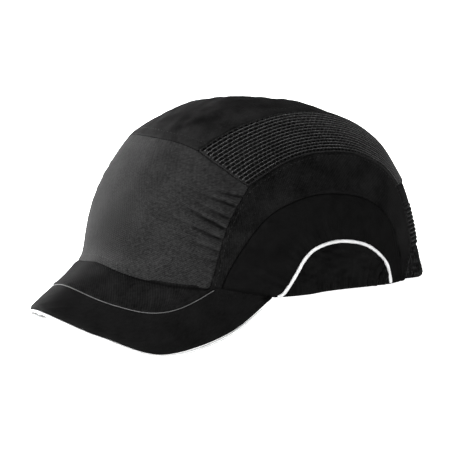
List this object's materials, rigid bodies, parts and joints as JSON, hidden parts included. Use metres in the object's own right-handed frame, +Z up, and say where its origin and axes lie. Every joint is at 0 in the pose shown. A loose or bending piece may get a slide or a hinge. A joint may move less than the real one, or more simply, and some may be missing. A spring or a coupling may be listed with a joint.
{
  "type": "bump cap",
  "caption": "Baseball-style bump cap with a short curved peak, ventilated sides, a padded protective shell inside and a clamp-buckled size strap at the back.",
  "frame": {"origin": "middle of the bounding box at the table the cap stands on", "axes": "-Y to the front along the peak, +X to the wearer's left, +Z up; the cap stands tipped back, on its peak and rear hem"},
  "size_m": [0.1738, 0.2642, 0.1284],
  "materials": {
    "front_cotton": "cotton twill",
    "black_cotton": "cotton twill",
    "band_cotton": "brushed cotton",
    "satin": "smooth polyester",
    "spacer_mesh": "knitted spacer mesh",
    "reflective_piping": "retro-reflective silver",
    "webbing": "woven",
    "moulded_shell": "moulded",
    "foam": "closed-cell foam",
    "towelling": "looped pile",
    "buckle_nylon": "satin",
    "pin_steel": "satin",
    "board_plastic": "matte",
    "label_cloth": "woven tape"
  },
  "bodies": {
    "cap": {"front_panel": "front_cotton", "crown_panel": "black_cotton", "mesh_panel_left": "spacer_mesh", "mesh_panel_right": "spacer_mesh", "side_band_left": "band_cotton", "side_band_right": "band_cotton", "arch_panel_left": "satin", "arch_panel_right": "satin", "ear_panel_left": "satin", "ear_panel_right": "satin", "ear_elastic_left": "webbing", "ear_elastic_right": "webbing", "piping_left": "reflective_piping", "piping_right": "reflective_piping", "rear_yoke": "band_cotton", "rear_mesh_panel": "spacer_mesh", "rear_binding": "black_cotton", "rear_band_left": "spacer_mesh", "rear_band_right": "spacer_mesh", "sweatband": "towelling", "protective_shell": "moulded_shell", "front_pad": "foam", "rear_pad": "foam", "side_pad_left": "foam", "side_pad_right": "foam", "crown_pad": "foam", "care_label": "label_cloth", "peak_board": "board_plastic", "peak_inner_cover": "band_cotton", "peak_outer_cover": "black_cotton", "peak_under_cover": "black_cotton", "peak_piping": "reflective_piping", "buckle_tab": "webbing", "buckle_body": "buckle_nylon", "lever_pin": "pin_steel"},
    "strap": {"size_strap": "webbing"},
    "lever": {"buckle_lever": "buckle_nylon"}
  },
  "joints": [
    {"name": "strap_adjust", "type": "hinge", "parent": "cap", "child": "strap", "pos_m": [0, 0.04025, 0.02497], "axis": [0, 0.1622, 0.9868], "range_deg": [-8.5, 8]},
    {"name": "lever_open", "type": "hinge", "parent": "cap", "child": "lever", "pos_m": [0.01854, 0.12652, 0.01107], "axis": [0.0179, -0.0349, -0.9992], "range_deg": [0, 100]}
  ]
}
